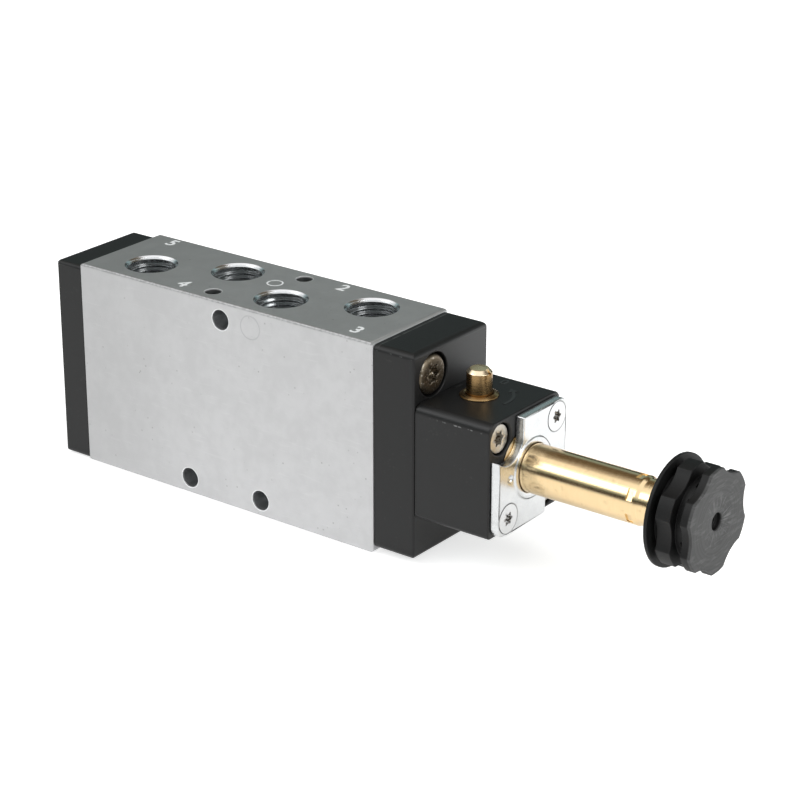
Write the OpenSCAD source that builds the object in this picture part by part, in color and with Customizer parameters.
/* [Body] */
// Length of the aluminium body, along X
body_l = 97; // [94:0.5:110]
// Width of the body, along Y
body_w = 30.6; // [30:0.1:36]
// Height of the body
body_h = 56; // [54:0.5:64]
// Radius of the body's long edges
body_edge_r = 0.6; // [0.3:0.1:1.2]
// Radius of the body's edges beside the end covers
body_end_r = 1.2; // [0.5:0.1:1.5]
// Radius of the body's four upright edges
body_upright_r = 0.4; // [0.2:0.1:1.2]

/* [Ports] */
// Distance between neighbouring ports on the top
port_pitch = 22; // [21:0.1:23]
// Distance of each top port from the centre line, to one side or the other
port_stagger = 4.5; // [3:0.1:5]
// Major diameter of the port thread, a quarter inch pipe thread
port_d = 13.16; // [11:0.01:13.4]
// Width of the countersink around a port
port_sink = 0.45; // [0.2:0.05:0.6]
// Depth of a port
port_depth = 12; // [9:0.5:13]
// Diameter of the passage from a port to the spool bore
passage_d = 6.5; // [5:0.1:7]

/* [Mounting holes] */
// Diameter of the holes across the body
side_hole_d = 5.4; // [4.2:0.1:5.6]
// Distance of the upper cross hole from the top
side_hole_top = 5; // [4:0.1:6]
// Distance of the lower cross holes from the underside
side_hole_base = 4.4; // [4:0.1:6]
// Distance between the two lower cross holes
side_hole_pitch = 24; // [23.4:0.1:28]
// Diameter of the two upright holes
upright_hole_d = 4.4; // [3.2:0.1:4.6]
// Distance between the upright holes along X
upright_pitch_x = 12.4; // [12:0.1:12.8]
// Distance between the upright holes along Y
upright_pitch_y = 21.4; // [20.8:0.1:21.8]

/* [Spool and seals] */
// Diameter of the bore through the body
bore_d = 15; // [14:0.1:15.4]
// Diameter of the spool's lands
spool_d = 8.8; // [8:0.1:9.4]
// Diameter of the spool's necks
spool_neck_d = 5.4; // [4:0.1:6]
// Distance between neighbouring chambers
chamber_pitch = 13; // [12:0.1:13.2]
// Length of a spool neck
neck_l = 14; // [13:0.1:14.4]
// Travel of the spool
spool_stroke = 5; // [4:0.1:5.2]
// Length of the spool's end lands
end_land_l = 18; // [16.5:0.1:19]
// Depth of the groove that each chamber has in the body
chamber_depth = 1; // [0.4:0.1:1.2]
// Width of a chamber groove
chamber_w = 5; // [3:0.1:5.6]
// Inner diameter of the cages and sleeves around the spool
cage_bore_d = 9.8; // [9.6:0.1:10.4]
// Number of windows in a cage
cage_windows = 6; // [4:1:8]
// Diameter of a cage window
cage_window_d = 3; // [2:0.1:3.4]

/* [End cover] */
// Thickness of the spring end cover
cap_t = 7.6; // [7:0.1:10]
// Step from the top of the body down to the end cover
cap_inset_top = 1; // [0.3:0.1:2]
// Step from the body's sides and underside in to the end cover
cap_inset_side = 0.2; // [0.1:0.1:1]
// Width of the rim that hides the gasket in each end piece
gasket_rim = 1.8; // [1.2:0.1:2]
// Thickness of the gasket under each end piece
gasket_t = 1; // [0.5:0.1:1.5]
// Depth of the spring pocket in the end cover
spring_pocket = 4.5; // [3:0.1:5]
// Diameter of the breather hole in the end cover
breather_d = 1.8; // [1:0.1:3]

/* [Pilot adapter] */
// Thickness of the adapter that carries the pilot head
adapter_t = 11.4; // [11.2:0.1:14]
// Step from the body's sides in to the adapter
adapter_inset_side = 0.2; // [0.1:0.1:0.9]
// Step from the top of the body down to the adapter
adapter_inset_top = 0.4; // [0.2:0.1:2]
// Step from the underside of the body up to the adapter
adapter_inset_base = 1.5; // [0.5:0.1:2]
// Radius of the adapter's upper and lower outer edges
adapter_end_r = 1.6; // [0.5:0.1:2]
// Radius of the adapter's long edges
adapter_edge_r = 1.7; // [0.5:0.1:2]
// Diameter of the pilot piston's cylinder
piston_bore_d = 20; // [18:0.1:20.4]
// Thickness of the pilot piston
piston_t = 4; // [3.6:0.1:4.2]
// Diameter of the rod between piston and spool
piston_rod_d = 6; // [4:0.1:7]

/* [Pilot head] */
// Length of the black pilot head, along X
head_l = 22; // [21.5:0.1:24]
// Width and height of the pilot head
head_s = 29.8; // [29.4:0.1:31]
// Radius of the head's two upper long edges
head_top_r = 2.4; // [1:0.1:3]
// Radius of the head's two lower long edges
head_base_r = 1.2; // [0.5:0.1:2]

/* [Armature plate] */
// Thickness of the steel plate that holds the armature tube
plate_t = 2.5; // [2:0.1:3]
// Width and height of the plate
plate_s = 28.2; // [27.8:0.1:28.8]
// Radius of the plate's two whole corners
plate_corner_r = 2.2; // [1:0.1:3]
// Radius of the plate's cut-out around the upper socket screw
scallop_r = 6; // [5:0.1:6.2]
// Radius of the plate's smaller cut-out around the lower socket screw
lower_scallop_r = 4.1; // [4.1:0.1:5]
// Width of the rim raised around the tube hole
plate_rim_w = 1.6; // [0.8:0.1:1.7]
// Height of that rim
plate_rim_h = 0.3; // [0.1:0.05:0.6]

/* [Armature tube] */
// Outer diameter of the brass tube, where the coil slides on
tube_d = 12.3; // [12:0.1:12.6]
// Wall of the tube
tube_wall = 0.7; // [0.5:0.05:0.9]
// Length of the tube's full diameter in front of the plate
tube_l = 33; // [31:0.1:40]
// Diameter of the tube's threaded neck
tube_neck_d = 11.6; // [10.8:0.1:11.8]
// Length of the tube's neck
tube_neck_l = 12.6; // [11.6:0.1:14]
// Diameter of the tube's hidden flange
tube_flange_d = 19; // [18.4:0.1:19.6]
// Thickness of the tube's hidden flange
tube_flange_t = 1.6; // [1:0.1:2]
// Number of staked dents that hold the core
dent_count = 6; // [3:1:6]
// Distance of the dents from the tube's shoulder
dent_from_shoulder = 2.2; // [2:0.1:6]

/* [Armature] */
// Length of the moving armature
armature_l = 28.4; // [25:0.1:30]
// Travel of the armature
armature_stroke = 1.2; // [0.8:0.1:1.6]
// Diameter of the rubber seat in the armature's nose
armature_seat_d = 4.6; // [4:0.1:5.4]
// Outer diameter of the armature spring
armature_spring_d = 5.2; // [4.4:0.1:5.4]
// Depth of the spring pocket in the armature
armature_pocket = 9; // [7:0.1:12]
// Outer diameter of the pilot nozzle's body
nozzle_d = 5; // [4:0.1:5.2]

/* [Manual override] */
// Distance of the override from the adapter, along X
override_from_adapter = 8.4; // [7.8:0.1:8.6]
// Diameter of the override's brass button
override_d = 6.4; // [5.6:0.1:6.6]
// Height of the button above the pilot head
override_h = 7; // [4:0.1:8]
// Travel of the button
override_stroke = 2; // [1:0.1:2]
// Diameter of the brass rim around the button
override_rim_d = 9.8; // [9:0.1:11]
// Depth of the brass bush in the pilot head
override_bush_l = 9.4; // [9:0.1:9.6]
// Width of the notch that shows how far the button is turned
override_notch_w = 1; // [0.6:0.1:1.6]
// Depth of that notch, down and inwards from the button's top edge
override_notch_depth = 1.2; // [0.6:0.1:1.6]

/* [Coil nut] */
// Diameter of the nut's thin rear flange
nut_flange_d = 27.7; // [27:0.1:30]
// Diameter of the nut over its lobes
nut_tip_d = 26.4; // [25:0.1:27]
// Diameter of the nut across the hollows between its lobes
nut_valley_d = 23.2; // [22:0.1:24]
// Number of lobes
nut_lobes = 6; // [5:1:8]
// Diameter of the nut's core, in its grooves
nut_core_d = 20.4; // [19:0.1:21]
// Thickness of the rear flange
nut_flange_t = 0.9; // [0.6:0.1:1.2]
// Width of the groove behind the rear lobed ring
nut_rear_groove = 1.5; // [0.8:0.1:2]
// Width of the rear lobed ring
nut_ring_t = 3.9; // [3:0.1:5]
// Width of the groove between the two lobed rings
nut_front_groove = 2.7; // [2:0.1:3.5]
// Width of the front lobed disc
nut_front_t = 2.6; // [2.2:0.1:4]
// Distance from the tube's shoulder to the nut
nut_from_shoulder = 6.8; // [6.4:0.1:7.2]
// Diameter of the shallow dish in the nut's front
nut_dish_d = 15; // [10:0.5:18]
// Depth of the dish
nut_dish_depth = 0.5; // [0.2:0.1:0.8]
// Diameter of the vent hole in the nut's front
nut_vent_d = 2; // [1:0.1:3]

/* [Screws] */
// Thread diameter of the screws that hold the two end pieces
cap_screw_d = 5; // [4:0.1:5.2]
// Distance of those screws from the centre, along Y
cap_screw_y = 7.3; // [7:0.1:7.6]
// Distance of those screws from the centre, along Z
cap_screw_z = 20.4; // [19.6:0.1:20.6]
// Head diameter of those screws
cap_screw_head_d = 10.4; // [8.6:0.1:10.6]
// Reach of those screws into the body
cap_screw_grip = 14; // [10:0.5:16]
// Thread diameter of the four small screws on the pilot head
small_screw_d = 4; // [3.4:0.1:4.1]
// Distance of those four screws from the pilot's axis, along Y and Z
small_screw_at = 10; // [9.8:0.1:10.2]
// Head diameter of the socket screws
head_screw_head_d = 7.2; // [6.4:0.1:7.4]
// Reach of the socket screws into the adapter
head_screw_grip = 8; // [6:0.1:9]
// Head diameter of the plate screws
plate_screw_head_d = 7.4; // [6.4:0.1:7.4]
// Reach of the plate screws into the pilot head
plate_screw_grip = 12; // [8:0.1:14]

/* [Clearances] */
// Radial gap of a running fit
running = 0.06; // [0.03:0.01:0.09]
// Gap between pieces that seat on each other
seat = 0.03; // [0.02:0.01:0.05]
// Gap between a moving piece and its stop
stop_gap = 0.3; // [0.2:0.05:0.4]

/* [Hidden] */
$fn = 64;

// Overshoot of a cut past the face that it opens
over = 1;
// Height of the axis that the spool, the piston and the armature share
axis_z = body_h / 2;
// Faces along X, from the spring end to the coil nut
body_x = body_l / 2;
adapter_x = body_x + gasket_t;
head_x = adapter_x + adapter_t;
plate_x = head_x + head_l;
stem_x = plate_x + plate_t;
shoulder_x = stem_x + tube_l;
nut_x = shoulder_x + nut_from_shoulder;

// Top ports alternate in front of and behind the centre line
port_index = [-1.5, -0.5, 0.5, 1.5];
port_side = [-1, 1, -1, 1];
// A port's passage leans towards its chamber as far as the port's floor allows
passage_reach = (port_d - passage_d) / 2;
function chamber_of(i) = sign(port_index[i]) * (abs(port_index[i]) < 1 ? 1 : 2) * chamber_pitch;
function passage_x(i) =
    port_index[i] * port_pitch
    + max(-passage_reach, min(passage_reach, chamber_of(i) - port_index[i] * port_pitch));

// Seals between the chambers, and the parts between the seals
seal_cord = (bore_d - spool_d) / 2 - running - seat;
seal_mid_r = spool_d / 2 + running + seal_cord / 2;
seal_index = [-2.5, -1.5, -0.5, 0.5, 1.5, 2.5];
cage_r = bore_d / 2 - seat;
cage_l = chamber_pitch - seal_cord - 2 * seat;
cage_groove_depth = 0.8;
cage_groove_w = 4.6;
sleeve_x = 2.5 * chamber_pitch + seal_cord / 2 + seat;
sleeve_l = body_x - sleeve_x - seat;
chamfer = 0.4;

// The spool rests at the pilot end of its travel
spool_x = spool_stroke / 2;
spool_half = chamber_pitch + neck_l / 2 + end_land_l;
spool_spigot_l = 4;
spool_end_x = spool_x + spool_half;
spring_wire = 1;
return_spring_r = cage_bore_d / 2 - 0.4 - spring_wire / 2;

// Pilot piston at its outer stop, with a lip seal in its groove
cylinder_wall = 2.8;
piston_bore_x = head_x - cylinder_wall;
piston_back_x = piston_bore_x - stop_gap;
piston_front_x = piston_back_x - piston_t;
piston_r = piston_bore_d / 2 - 0.1;
lip_x = piston_front_x + 1.2;
lip_w = 2;
lip_depth = 2;

// Pilot air goes along the body and up to the nozzle, then back to the piston
feed_d = 2;
feed_drop = 12;
feed_inset = 3;
feed_rise_x = head_x + feed_inset;
outlet_y = 4.5;
outlet_drop = 2;
small_ring_cord = 1;
small_ring_mid_r = 1.5;
small_ring_seat_r = small_ring_mid_r + small_ring_cord / 2 + seat;
head_passages = [[0, -feed_drop], [outlet_y, -outlet_drop]];

// Pilot head cavity
tube_bore_d = tube_d - 2 * tube_wall;
tube_ring_cord = 1.7;
tube_ring_mid_r = tube_flange_d / 2 - tube_ring_cord / 2 - seat;
recess_x = plate_x - tube_flange_t - tube_ring_cord - 2 * seat;
recess_r = tube_flange_d / 2 + 0.1;
cavity_inset = 13;
cavity_x = head_x + cavity_inset;
nozzle_l = 6.2;
nozzle_x = cavity_x - nozzle_l;
nozzle_tip_x = cavity_x + 1;
nozzle_tip_r = 1.2;
nozzle_hole_r = 0.6;

// Armature, held on the nozzle by its spring
armature_d = tube_bore_d - 2 * running;
armature_x = nozzle_tip_x + seat;
armature_seat_t = 2;
armature_seat_proud = 0.4;
armature_nose_l = 3;
armature_nose_r = 4;
armature_end_x = armature_x + armature_l;
core_x = armature_end_x + armature_stroke + stop_gap / 2;
armature_wire = 0.6;
flute_r = 0.9;

// Manual override
head_top_z = axis_z + head_s / 2;
override_x = head_x + override_from_adapter;
shoulder_r = override_d / 2 + 0.3;
bush_r = shoulder_r + running + 0.75;
bush_base_z = head_top_z - override_bush_l;
bush_floor_t = 1.5;
rim_t = 0.8;
rim_edge_t = 0.3;
lip_t = 0.6;
mouth_depth = 0.4;
mouth_w = 0.55;
stem_seat_depth = 2.6;
stem_base_z = head_top_z - stem_seat_depth;
stem_shoulder_z = head_top_z + rim_t - lip_t - stop_gap;
stem_chamfer = 0.9;
tail_r = 1.5;
tail_z = bush_base_z + 1;
tail_pocket_z = tail_z - override_stroke - stop_gap;
washer_t = 0.6;
override_wire = 0.6;
ring_groove_z = stem_base_z + 0.6;
ring_cord = 1;
ring_groove_w = ring_cord + 0.1;
ring_groove_r = shoulder_r + running - ring_cord;

// Screw heads and their recesses
cap_head_t = 2.8;
cap_recess_r = cap_screw_head_d / 2 + 0.4;
cap_star_r = 2.5;
socket_head_t = 4;
socket_recess_r = head_screw_head_d / 2 + 0.4;
socket_recess_depth = socket_head_t + 0.6;
socket_star_r = 2;
sunk_head_t = (plate_screw_head_d - small_screw_d) / 2;
sunk_star_r = 1.7;
screw_play = 0.1;

// Places of the screws around the axis, as distances along Y and Z
end_screws = [[-cap_screw_y, cap_screw_z], [cap_screw_y, -cap_screw_z]];
head_screw_spots = [[-small_screw_at, small_screw_at], [small_screw_at, -small_screw_at]];
plate_screw_spots = [[small_screw_at, small_screw_at], [-small_screw_at, -small_screw_at]];

// Sections of the brass tube and of the black nut
neck_bore_r = tube_neck_d / 2 - 0.9;
neck_end_x = shoulder_x + tube_neck_l;
neck_step_x = shoulder_x - 0.8;
shoulder_l = 0.9;
dent_size = [1.7, 3, tube_wall * 0.6];
nut_ring_x = nut_x + nut_flange_t + nut_rear_groove;
nut_disc_x = nut_ring_x + nut_ring_t + nut_front_groove;
nut_front_x = nut_disc_x + nut_front_t;
nut_insert_x = nut_x + 1.2;
nut_insert_l = neck_end_x + 0.4 - nut_insert_x;
nut_insert_r = tube_neck_d / 2 + 2;
nut_pocket = [1.3, 1, 1.5];
nut_pocket_turn = 14;
nut_centre_r = 2.2;
nut_centre_depth = 1.6;
lobe_turn = 4.5;

// A flat shape in the Y and Z plane, pushed along +X from x over length l
module prism_x(x, l, z = axis_z) {
    translate([x, 0, z]) rotate([90, 0, 90]) linear_extrude(l) children();
}

// A turned piece: its profile is drawn with the radius first and X second
module turned(x = 0, y = 0, z = axis_z) {
    translate([x, y, z]) rotate([0, 90, 0]) rotate_extrude() children();
}

// A round bar along +X, from x over length l
module bar_x(x, l, r, y = 0, z = axis_z) {
    translate([x, y, z]) rotate([0, 90, 0]) cylinder(h = l, r = r);
}

// A round bar upwards
module bar_z(z, l, r, x = 0, y = 0) {
    translate([x, y, z]) cylinder(h = l, r = r);
}

// A rectangle with four equal round corners
module round_rect(w, h, r) {
    square([w - 2 * r, h], center = true);
    square([w, h - 2 * r], center = true);
    for (sx = [-1, 1], sy = [-1, 1])
        translate([sx * (w / 2 - r), sy * (h / 2 - r)]) circle(r);
}

// A block from x over length l, with its long, level end and upright edges rounded
module soft_block(x, l, w, z0, z1, long_r, end_r, upright_r) {
    h = z1 - z0;
    intersection() {
        prism_x(x, l, (z0 + z1) / 2) round_rect(w, h, long_r);
        translate([x + l / 2, 0, z0]) linear_extrude(h) round_rect(l, w, upright_r);
        translate([x + l / 2, w / 2, (z0 + z1) / 2])
            rotate([90, 0, 0]) linear_extrude(w) round_rect(l, h, end_r);
    }
}

// A ring of round cord, lying across X
module cord_ring(x, mid_r, cord, y = 0, z = axis_z) {
    turned(x, y, z) translate([mid_r, 0]) circle(d = cord);
}

// A coil spring along +Z with closed end turns
module coil_spring(mid_r, wire, l, turns, sides = 8, steps = 18) {
    rings = turns * steps;
    free = l - wire;
    lift = (free - 2 * wire) / (turns - 2);
    function height(t) =
        t < 1 ? t * wire
        : t > turns - 1 ? free - (turns - t) * wire
        : wire + (t - 1) * lift;
    points = [
        for (i = [0:rings], j = [0:sides - 1])
            let (a = i * 360 / steps, b = j * 360 / sides, r = mid_r + wire / 2 * cos(b))
            [r * cos(a), r * sin(a), wire / 2 + height(i / steps) + wire / 2 * sin(b)]
    ];
    walls = [
        for (i = [0:rings - 1], j = [0:sides - 1])
            let (k = (j + 1) % sides)
            [i * sides + j, i * sides + k, (i + 1) * sides + k, (i + 1) * sides + j]
    ];
    first = [for (j = [sides - 1:-1:0]) j];
    last = [for (j = [0:sides - 1]) rings * sides + j];
    polyhedron(points, concat(walls, [first], [last]), convexity = 10);
}

// What belongs to the pilot end, turned half round Z to the spring end
module turn_end() {
    rotate([0, 0, 180]) children();
}

// Holes along X for screws; a spot is the distance from the axis along Y and Z
module screw_bores(x, l, r, spots) {
    for (s = spots)
        bar_x(x, l, r, s[0], axis_z + s[1]);
}

// A six-pointed screw recess, cut from above down to z = 0
module star_recess(r) {
    linear_extrude(cap_head_t + over) difference() {
        circle(r);
        for (k = [0:5]) rotate(k * 60) translate([r * 1.12, 0]) circle(r * 0.4);
    }
}

// Round-headed screws facing +X; their heads end at face_x
module pan_screws(face_x, grip) {
    round_r = cap_head_t * 0.45;
    for (s = end_screws) translate([face_x, s[0], axis_z + s[1]]) rotate([0, 90, 0])
        difference() {
            union() {
                translate([0, 0, -cap_head_t - grip])
                    cylinder(h = grip + over, d = cap_screw_d);
                translate([0, 0, -cap_head_t]) rotate_extrude() difference() {
                    square([cap_screw_head_d / 2, cap_head_t]);
                    translate([cap_screw_head_d / 2 - round_r, cap_head_t - round_r]) difference() {
                        square(round_r + over);
                        circle(round_r);
                    }
                }
            }
            translate([0, 0, -cap_head_t * 0.6]) star_recess(cap_star_r);
        }
}

module valve_body() {
    color([0.77, 0.78, 0.79]) difference() {
        soft_block(-body_x, body_l, body_w, 0, body_h, body_edge_r, body_end_r, body_upright_r);
        bar_x(-body_x - over, body_l + 2 * over, bore_d / 2);
        for (i = [-2:2])
            bar_x(i * chamber_pitch - chamber_w / 2, chamber_w, bore_d / 2 + chamber_depth);
        for (i = [0:3]) {
            translate([port_index[i] * port_pitch, port_side[i] * port_stagger, body_h])
                rotate([180, 0, 0]) port_cut();
            bar_z(axis_z, body_h - axis_z - port_depth + over, passage_d / 2,
                passage_x(i), port_side[i] * port_stagger / 2);
        }
        port_cut();
        bar_z(port_depth - over, axis_z - port_depth + over, passage_d / 2);
        bar_x(0, body_x + over, feed_d / 2, 0, axis_z - feed_drop);
        cross_hole(0, body_h - side_hole_top);
        for (s = [-1, 1]) {
            cross_hole(s * side_hole_pitch / 2, side_hole_base);
            bar_z(-over, body_h + 2 * over, upright_hole_d / 2,
                s * upright_pitch_x / 2, s * upright_pitch_y / 2);
        }
        screw_bores(body_x - cap_screw_grip - over, cap_screw_grip + 2 * over,
            cap_screw_d / 2 + seat, end_screws);
        turn_end() screw_bores(body_x - cap_screw_grip - over, cap_screw_grip + 2 * over,
            cap_screw_d / 2 + seat, end_screws);
    }
}

// One port, opening downwards at z = 0
module port_cut() {
    translate([0, 0, -over]) cylinder(h = port_depth + over, d = port_d);
    rotate_extrude() polygon([
        [0, -over], [port_d / 2 + port_sink + over, -over],
        [port_d / 2, port_sink], [0, port_sink]
    ]);
}

// One mounting hole right across the body
module cross_hole(x, z) {
    translate([x, body_w / 2 + over, z]) rotate([90, 0, 0])
        cylinder(h = body_w + 2 * over, d = side_hole_d);
}

module cage_rings() {
    color([0.72, 0.62, 0.34]) for (i = [-2:2]) difference() {
        turned(i * chamber_pitch) difference() {
            translate([cage_bore_d / 2, -cage_l / 2]) square([cage_r - cage_bore_d / 2, cage_l]);
            translate([cage_r - cage_groove_depth, -cage_groove_w / 2])
                square([over, cage_groove_w]);
        }
        for (k = [0:cage_windows - 1])
            translate([i * chamber_pitch, 0, axis_z]) rotate([k * 360 / cage_windows, 0, 0])
                cylinder(h = bore_d, d = cage_window_d);
    }
}

module spool_seals() {
    color([0.08, 0.08, 0.09]) for (i = seal_index)
        cord_ring(i * chamber_pitch, seal_mid_r, seal_cord);
}

module guide_sleeves() {
    color([0.72, 0.62, 0.34]) for (s = [-1, 1]) mirror([s < 0 ? 1 : 0, 0, 0])
        turned(sleeve_x) polygon([
            [cage_bore_d / 2, 0], [cage_r, 0],
            [cage_r, sleeve_l - chamfer], [cage_r - chamfer, sleeve_l], [cage_bore_d / 2, sleeve_l]
        ]);
}

module spool() {
    land_r = spool_d / 2;
    neck_r = spool_neck_d / 2;
    slope = land_r - neck_r;
    near = chamber_pitch - neck_l / 2;
    far = chamber_pitch + neck_l / 2;
    color([0.78, 0.79, 0.8]) turned(spool_x) polygon([
        [0, -spool_half - spool_spigot_l], [neck_r, -spool_half - spool_spigot_l],
        [neck_r, -spool_half], [land_r - chamfer, -spool_half], [land_r, -spool_half + chamfer],
        [land_r, -far], [neck_r, -far + slope], [neck_r, -near - slope], [land_r, -near],
        [land_r, near], [neck_r, near + slope], [neck_r, far - slope], [land_r, far],
        [land_r, spool_half - chamfer], [land_r - chamfer, spool_half], [0, spool_half]
    ]);
}

// An end piece of width w and length l against the body, with a pocket for its gasket;
// only the edges of its outer face are rounded
module end_block(l, w, z0, z1, long_r, end_r) {
    difference() {
        soft_block(body_x - end_r, l + end_r, w, z0, z1, long_r, end_r, body_edge_r);
        translate([body_x - end_r - over, -w, z0 - over])
            cube([end_r + over, 2 * w, z1 - z0 + 2 * over]);
        prism_x(body_x - over, gasket_t + over, (z0 + z1) / 2)
            round_rect(w - 2 * gasket_rim, z1 - z0 - 2 * gasket_rim, body_end_r);
    }
}

module return_end_cap() {
    outer_x = -body_x - gasket_t - cap_t;
    color([0.09, 0.09, 0.1]) difference() {
        turn_end() end_block(cap_t + gasket_t, body_w - 2 * cap_inset_side, cap_inset_side,
            body_h - cap_inset_top, body_end_r, body_edge_r);
        bar_x(outer_x + cap_t - spring_pocket, spring_pocket + over, cage_bore_d / 2);
        bar_x(outer_x - over, cap_t, breather_d / 2);
        turn_end() cap_screw_cuts(body_x + gasket_t, cap_t);
    }
}

// Clearance holes and head recesses through an end piece that starts at x
module cap_screw_cuts(x, t) {
    screw_bores(x - over, t + 2 * over, cap_screw_d / 2 + screw_play, end_screws);
    screw_bores(x + t - cap_head_t, cap_head_t + over, cap_recess_r, end_screws);
}

// A gasket in the pocket of its end piece, from x towards +X
module end_gasket(x, w, z0, z1, hole_r) {
    edge = gasket_rim + screw_play;
    difference() {
        prism_x(x, gasket_t, (z0 + z1) / 2) round_rect(w - 2 * edge, z1 - z0 - 2 * edge, body_end_r);
        bar_x(x - over, gasket_t + 2 * over, hole_r);
        screw_bores(x - over, gasket_t + 2 * over, cap_screw_d / 2 + screw_play, end_screws);
        children();
    }
}

module return_cap_gasket() {
    color([0.05, 0.05, 0.05]) turn_end()
        end_gasket(body_x, body_w - 2 * cap_inset_side, cap_inset_side, body_h - cap_inset_top,
            cage_bore_d / 2);
}

module return_cap_screws() {
    color([0.35, 0.3, 0.25]) turn_end()
        pan_screws(body_x + gasket_t + cap_t, cap_t + gasket_t - cap_head_t + cap_screw_grip);
}

module return_spring() {
    from_x = -body_x - gasket_t - spring_pocket + seat;
    to_x = spool_x - spool_half - seat;
    color([0.7, 0.71, 0.72]) translate([from_x, 0, axis_z]) rotate([0, 90, 0])
        coil_spring(return_spring_r, spring_wire, to_x - from_x, 8);
}

module pilot_piston() {
    r = piston_r;
    color([0.86, 0.86, 0.84]) turned() polygon([
        [0, spool_end_x + seat], [piston_rod_d / 2, spool_end_x + seat],
        [piston_rod_d / 2, piston_front_x], [r, piston_front_x],
        [r, lip_x], [r - lip_depth, lip_x], [r - lip_depth, lip_x + lip_w],
        [r, lip_x + lip_w], [r, piston_back_x - chamfer], [r - chamfer, piston_back_x],
        [0, piston_back_x]
    ]);
}

module piston_lip_seal() {
    base_r = piston_r - lip_depth + seat;
    tip_r = piston_bore_d / 2 - running;
    from_x = lip_x + seat;
    to_x = from_x + lip_w - 2 * seat;
    color([0.1, 0.1, 0.11]) turned() polygon([
        [base_r, from_x], [tip_r - 0.5, from_x], [tip_r - 0.3, from_x + 0.7], [tip_r, to_x],
        [tip_r - 0.6, to_x], [tip_r - 0.9, to_x - 0.8], [base_r, to_x - 0.8]
    ]);
}

module pilot_adapter() {
    color([0.09, 0.09, 0.1]) difference() {
        end_block(adapter_t + gasket_t, body_w - 2 * adapter_inset_side, adapter_inset_base,
            body_h - adapter_inset_top, adapter_edge_r, adapter_end_r);
        bar_x(adapter_x - over, piston_bore_x - adapter_x + over, piston_bore_d / 2);
        cap_screw_cuts(adapter_x, adapter_t);
        screw_bores(head_x - head_screw_grip - over, head_screw_grip + 2 * over,
            small_screw_d / 2 + seat, head_screw_spots);
        screw_bores(adapter_x - over, adapter_t + 2 * over, feed_d / 2, head_passages);
    }
}

module adapter_gasket() {
    color([0.05, 0.05, 0.05])
        end_gasket(body_x, body_w - 2 * adapter_inset_side, adapter_inset_base,
            body_h - adapter_inset_top, piston_bore_d / 2)
        bar_x(body_x - over, gasket_t + 2 * over, feed_d / 2, 0, axis_z - feed_drop);
}

module adapter_screws() {
    color([0.35, 0.3, 0.25])
        pan_screws(head_x, adapter_t + gasket_t - cap_head_t + cap_screw_grip);
}

// The head's section: wide rounding above, small rounding below
module head_outline() {
    half = head_s / 2;
    translate([-half + head_top_r, half - head_top_r])
        square([head_s - 2 * head_top_r, head_top_r]);
    translate([-half, -half + head_base_r])
        square([head_s, head_s - head_top_r - head_base_r]);
    translate([-half + head_base_r, -half])
        square([head_s - 2 * head_base_r, head_base_r]);
    for (s = [-1, 1]) {
        translate([s * (half - head_top_r), half - head_top_r]) circle(head_top_r);
        translate([s * (half - head_base_r), -half + head_base_r]) circle(head_base_r);
    }
}

module pilot_head() {
    color([0.08, 0.08, 0.09]) difference() {
        prism_x(head_x, head_l) head_outline();
        bar_x(recess_x, plate_x - recess_x + over, recess_r);
        bar_x(cavity_x, head_l, tube_bore_d / 2);
        bar_x(nozzle_x, nozzle_l + over, nozzle_d / 2 + seat);
        bar_x(feed_rise_x, nozzle_x - feed_rise_x + over, feed_d / 2);
        bar_z(axis_z - feed_drop, feed_drop, feed_d / 2, feed_rise_x);
        bar_x(head_x - over, feed_rise_x - head_x + over, feed_d / 2, 0, axis_z - feed_drop);
        bar_x(head_x - over, cavity_x - head_x + 2 * over, feed_d / 2,
            outlet_y, axis_z - outlet_drop);
        screw_bores(head_x - over, small_ring_cord + over, small_ring_seat_r, head_passages);
        screw_bores(head_x - over, head_l + 2 * over, small_screw_d / 2 + screw_play,
            head_screw_spots);
        screw_bores(plate_x - socket_recess_depth, socket_recess_depth + over, socket_recess_r,
            head_screw_spots);
        screw_bores(plate_x - plate_screw_grip - over, plate_screw_grip + 2 * over,
            small_screw_d / 2 + seat, plate_screw_spots);
        bar_z(bush_base_z, override_bush_l + over, bush_r + seat, override_x);
        bar_z(tail_pocket_z, bush_base_z - tail_pocket_z + over, tail_r + running, override_x);
    }
}

module head_o_rings() {
    color([0.1, 0.1, 0.11]) for (s = head_passages)
        cord_ring(head_x + small_ring_cord / 2, small_ring_mid_r, small_ring_cord - seat,
            s[0], axis_z + s[1]);
}

module head_screws() {
    base_x = plate_x - socket_recess_depth;
    shank_x = head_x - head_screw_grip;
    color([0.8, 0.79, 0.76])
        for (s = head_screw_spots) translate([0, s[0], s[1]]) difference() {
            union() {
                bar_x(base_x, socket_head_t, head_screw_head_d / 2);
                bar_x(shank_x, base_x - shank_x + over, small_screw_d / 2);
            }
            translate([base_x + socket_head_t / 2, 0, axis_z])
                rotate([0, 90, 0]) star_recess(socket_star_r);
        }
}

module pilot_nozzle() {
    color([0.8, 0.65, 0.3]) turned(nozzle_x) polygon([
        [nozzle_hole_r, 0], [nozzle_d / 2, 0], [nozzle_d / 2, nozzle_l],
        [nozzle_tip_r + 0.6, nozzle_l], [nozzle_tip_r, nozzle_tip_x - nozzle_x],
        [nozzle_hole_r, nozzle_tip_x - nozzle_x]
    ]);
}

// The plate's outline gives way to the socket screws at two of its corners
module plate_outline() {
    difference() {
        round_rect(plate_s, plate_s, plate_corner_r);
        translate([-small_screw_at, small_screw_at]) {
            circle(scallop_r);
            translate([-plate_s, 0]) square([plate_s + scallop_r, plate_s]);
        }
        translate([small_screw_at, -small_screw_at]) {
            circle(lower_scallop_r);
            translate([-lower_scallop_r, -plate_s]) square(plate_s);
            translate([0, lower_scallop_r - plate_s]) square(plate_s);
        }
        circle(tube_d / 2 + seat);
    }
}

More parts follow.
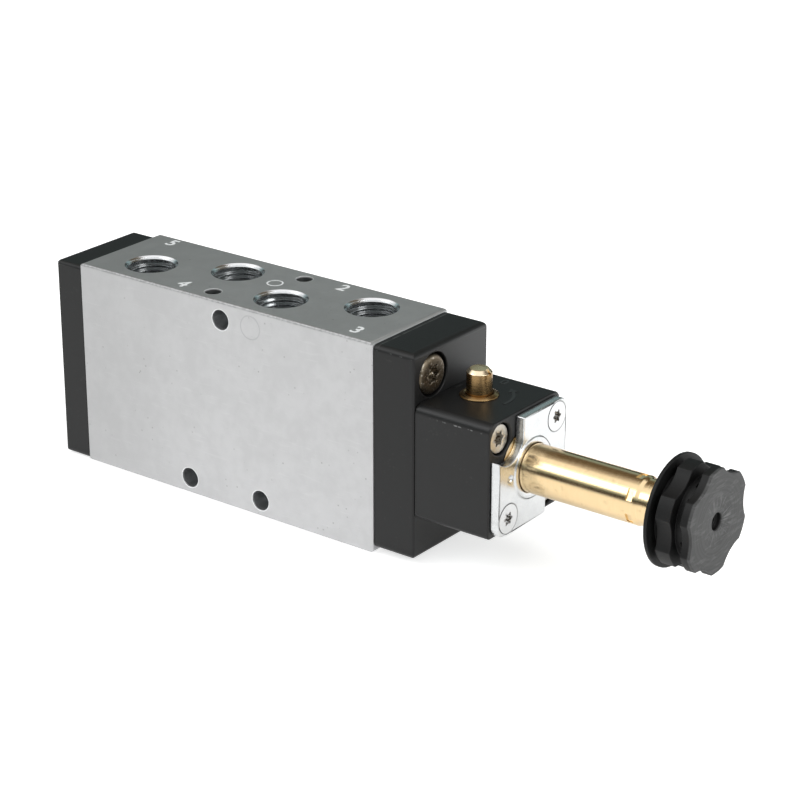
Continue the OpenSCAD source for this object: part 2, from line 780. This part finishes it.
module armature_plate() {
    dimple_inset = 3.2;
    dimple_y = tube_d / 2 + dimple_inset;
    color([0.85, 0.86, 0.87]) difference() {
        union() {
            prism_x(plate_x, plate_t) plate_outline();
            turned(plate_x) translate([tube_d / 2 + seat, plate_t - over])
                square([plate_rim_w, plate_rim_h + over]);
        }
        screw_bores(plate_x - over, plate_t + 2 * over, small_screw_d / 2 + screw_play,
            plate_screw_spots);
        for (s = plate_screw_spots) turned(stem_x, s[0], axis_z + s[1]) polygon([
            [0, -sunk_head_t], [small_screw_d / 2 + screw_play, -sunk_head_t],
            [plate_screw_head_d / 2 + screw_play, 0],
            [plate_screw_head_d / 2 + screw_play, over], [0, over]
        ]);
        for (s = [-1, 1])
            turned(stem_x, s * dimple_y)
                polygon([[0, -0.6], [0.5, -0.6], [1.1, 0], [1.1, over], [0, over]]);
    }
}

module plate_screws() {
    color([0.85, 0.86, 0.87]) for (s = plate_screw_spots)
        translate([stem_x, s[0], axis_z + s[1]]) rotate([0, 90, 0]) difference() {
            rotate_extrude() polygon([
                [0, -plate_t - plate_screw_grip], [small_screw_d / 2, -plate_t - plate_screw_grip],
                [small_screw_d / 2, -sunk_head_t], [plate_screw_head_d / 2, 0], [0, 0]
            ]);
            translate([0, 0, -sunk_head_t * 0.8]) star_recess(sunk_star_r);
        }
}

module armature_tube() {
    bore_r = tube_bore_d / 2;
    back_x = plate_x - tube_flange_t;
    color([0.83, 0.67, 0.36]) difference() {
        turned() polygon([
            [bore_r, back_x], [tube_flange_d / 2, back_x], [tube_flange_d / 2, plate_x - seat],
            [tube_d / 2, plate_x - seat], [tube_d / 2, shoulder_x - shoulder_l],
            [tube_neck_d / 2, shoulder_x],
            [tube_neck_d / 2, neck_end_x - chamfer], [tube_neck_d / 2 - chamfer, neck_end_x],
            [neck_bore_r, neck_end_x], [neck_bore_r, neck_step_x], [bore_r, neck_step_x]
        ]);
        for (k = [0:dent_count - 1])
            translate([shoulder_x - dent_from_shoulder, 0, axis_z])
                rotate([k * 360 / dent_count, 0, 0])
                translate([-dent_size[0] / 2, -dent_size[1] / 2, tube_d / 2 - dent_size[2]])
                    cube([dent_size[0], dent_size[1], over]);
    }
}

module tube_o_ring() {
    color([0.1, 0.1, 0.11])
        cord_ring(recess_x + seat + tube_ring_cord / 2, tube_ring_mid_r, tube_ring_cord);
}

module fixed_core() {
    core_r = tube_bore_d / 2 - seat;
    spigot_r = neck_bore_r - seat;
    vent_r = 0.8;
    color([0.6, 0.6, 0.6]) turned() polygon([
        [vent_r, core_x], [core_r - chamfer, core_x], [core_r, core_x + chamfer],
        [core_r, neck_step_x - seat], [spigot_r, neck_step_x - seat],
        [spigot_r, neck_end_x - chamfer], [spigot_r - chamfer, neck_end_x],
        [vent_r, neck_end_x]
    ]);
}

module armature() {
    r = armature_d / 2;
    seat_r = armature_seat_d / 2 + seat;
    floor_x = armature_x + armature_seat_t;
    front_x = armature_x + armature_seat_proud;
    shoulder = armature_x + armature_nose_l;
    pocket_r = armature_spring_d / 2 + 0.25;
    color([0.62, 0.62, 0.63]) difference() {
        turned() polygon([
            [0, floor_x], [seat_r, floor_x], [seat_r, front_x], [armature_nose_r, front_x],
            [armature_nose_r, shoulder], [r, shoulder + r - armature_nose_r],
            [r, armature_end_x - chamfer], [r - chamfer, armature_end_x],
            [pocket_r, armature_end_x], [pocket_r, armature_end_x - armature_pocket],
            [0, armature_end_x - armature_pocket]
        ]);
        for (k = [0:3])
            translate([0, 0, axis_z]) rotate([45 + k * 90, 0, 0])
                bar_x(armature_x - over, armature_l + 2 * over, flute_r, 0, r);
    }
}

module armature_seat() {
    color([0.1, 0.1, 0.11])
        bar_x(armature_x, armature_seat_t - seat, armature_seat_d / 2);
}

module armature_spring() {
    from_x = armature_end_x - armature_pocket + seat;
    color([0.7, 0.71, 0.72]) translate([from_x, 0, axis_z]) rotate([0, 90, 0])
        coil_spring((armature_spring_d - armature_wire) / 2, armature_wire,
            core_x - seat - from_x, 9);
}

module override_bush() {
    bore_r = shoulder_r + running;
    top_z = head_top_z + rim_t;
    lip_r = override_d / 2 + running;
    color([0.83, 0.67, 0.36]) translate([override_x, 0, 0]) rotate_extrude() polygon([
        [tail_r + running, bush_base_z], [bush_r, bush_base_z],
        [bush_r, head_top_z + seat], [override_rim_d / 2, head_top_z + seat],
        [override_rim_d / 2, head_top_z + rim_edge_t], [lip_r + mouth_w, top_z],
        [lip_r, top_z - mouth_depth], [lip_r, top_z - lip_t],
        [bore_r, top_z - lip_t], [bore_r, bush_base_z + bush_floor_t],
        [tail_r + running, bush_base_z + bush_floor_t]
    ]);
}

module override_stem() {
    button_r = override_d / 2;
    top_z = head_top_z + override_h;
    color([0.83, 0.67, 0.36]) difference() {
        translate([override_x, 0, 0]) rotate_extrude() polygon([
            [0, tail_z], [tail_r, tail_z], [tail_r, stem_base_z], [shoulder_r, stem_base_z],
            [shoulder_r, ring_groove_z], [ring_groove_r, ring_groove_z],
            [ring_groove_r, ring_groove_z + ring_groove_w],
            [shoulder_r, ring_groove_z + ring_groove_w],
            [shoulder_r, stem_shoulder_z], [button_r, stem_shoulder_z],
            [button_r, top_z - stem_chamfer], [button_r - stem_chamfer, top_z], [0, top_z]
        ]);
        translate([override_x + button_r - override_notch_depth, -override_notch_w / 2,
            top_z - override_notch_depth])
            cube([override_notch_depth + over, override_notch_w, override_notch_depth + over]);
    }
}

module override_o_ring() {
    color([0.1, 0.1, 0.11]) translate([override_x, 0, ring_groove_z + ring_groove_w / 2])
        rotate_extrude() translate([ring_groove_r + ring_cord / 2, 0])
            circle(d = ring_cord - 2 * seat);
}

module override_washer() {
    color([0.8, 0.8, 0.8]) translate([override_x, 0, stem_base_z - washer_t - seat])
        difference() {
            cylinder(h = washer_t, r = shoulder_r);
            translate([0, 0, -over]) cylinder(h = washer_t + 2 * over, r = tail_r + running);
        }
}

module override_spring() {
    from_z = bush_base_z + bush_floor_t + seat;
    to_z = stem_base_z - washer_t - 2 * seat;
    color([0.7, 0.71, 0.72]) translate([override_x, 0, from_z])
        coil_spring(shoulder_r - 0.4 - override_wire / 2, override_wire, to_z - from_z, 4);
}

// A disc whose rim has lobes with hollows between them
module lobed(tip_d, valley_d, t) {
    half_hollow = 360 / nut_lobes * 0.3;
    in = tip_d / 2 * cos(half_hollow) - valley_d / 2;
    across = tip_d / 2 * sin(half_hollow);
    hollow_r = (in * in + across * across) / (2 * in);
    rotate([90, 0, 90]) linear_extrude(t) rotate(lobe_turn) difference() {
        circle(d = tip_d);
        for (k = [0:nut_lobes - 1]) rotate(k * 360 / nut_lobes)
            translate([valley_d / 2 + hollow_r, 0]) circle(hollow_r);
    }
}

module coil_nut() {
    color([0.1, 0.1, 0.11]) difference() {
        union() {
            bar_x(nut_x, nut_flange_t, nut_flange_d / 2);
            bar_x(nut_x, nut_front_x - nut_x, nut_core_d / 2);
            translate([nut_ring_x, 0, axis_z]) lobed(nut_tip_d, nut_valley_d, nut_ring_t);
            translate([nut_disc_x, 0, axis_z]) lobed(nut_tip_d, nut_valley_d, nut_front_t);
        }
        bar_x(nut_x - over, nut_insert_x - nut_x + 2 * over, tube_neck_d / 2 + 0.4);
        bar_x(nut_insert_x - seat, nut_insert_l + 2 * seat, nut_insert_r + seat);
        bar_x(nut_x, nut_front_x - nut_x + over, nut_vent_d / 2);
        bar_x(nut_front_x - nut_centre_depth, nut_centre_depth + over, nut_centre_r);
        turned(nut_front_x) polygon([
            [0, -nut_dish_depth], [nut_dish_d / 2, 0], [nut_dish_d / 2, over], [0, over]
        ]);
        for (k = [0:nut_lobes - 1], s = [-1, 1])
            translate([nut_disc_x - nut_pocket[0], 0, axis_z])
                rotate([lobe_turn + k * 360 / nut_lobes + s * nut_pocket_turn, 0, 0])
                translate([0, nut_core_d / 2 - nut_pocket[1], -nut_pocket[2] / 2])
                    cube([nut_pocket[0], nut_pocket[1] + over, nut_pocket[2]]);
    }
}

module nut_insert() {
    l = nut_insert_l;
    r = nut_insert_r;
    groove = 0.6;
    color([0.8, 0.65, 0.3]) turned(nut_insert_x) polygon([
        [tube_neck_d / 2 + running, 0], [r, 0], [r, l / 3], [r - groove, l / 3],
        [r - groove, l * 2 / 3], [r, l * 2 / 3], [r, l], [tube_neck_d / 2 + running, l]
    ]);
}

valve_body();
cage_rings();
spool_seals();
guide_sleeves();
spool();
return_end_cap();
return_cap_gasket();
return_cap_screws();
return_spring();
pilot_piston();
piston_lip_seal();
pilot_adapter();
adapter_gasket();
adapter_screws();
pilot_head();
head_o_rings();
head_screws();
pilot_nozzle();
armature_plate();
plate_screws();
armature_tube();
tube_o_ring();
fixed_core();
armature();
armature_seat();
armature_spring();
override_bush();
override_stem();
override_o_ring();
override_washer();
override_spring();
coil_nut();
nut_insert();
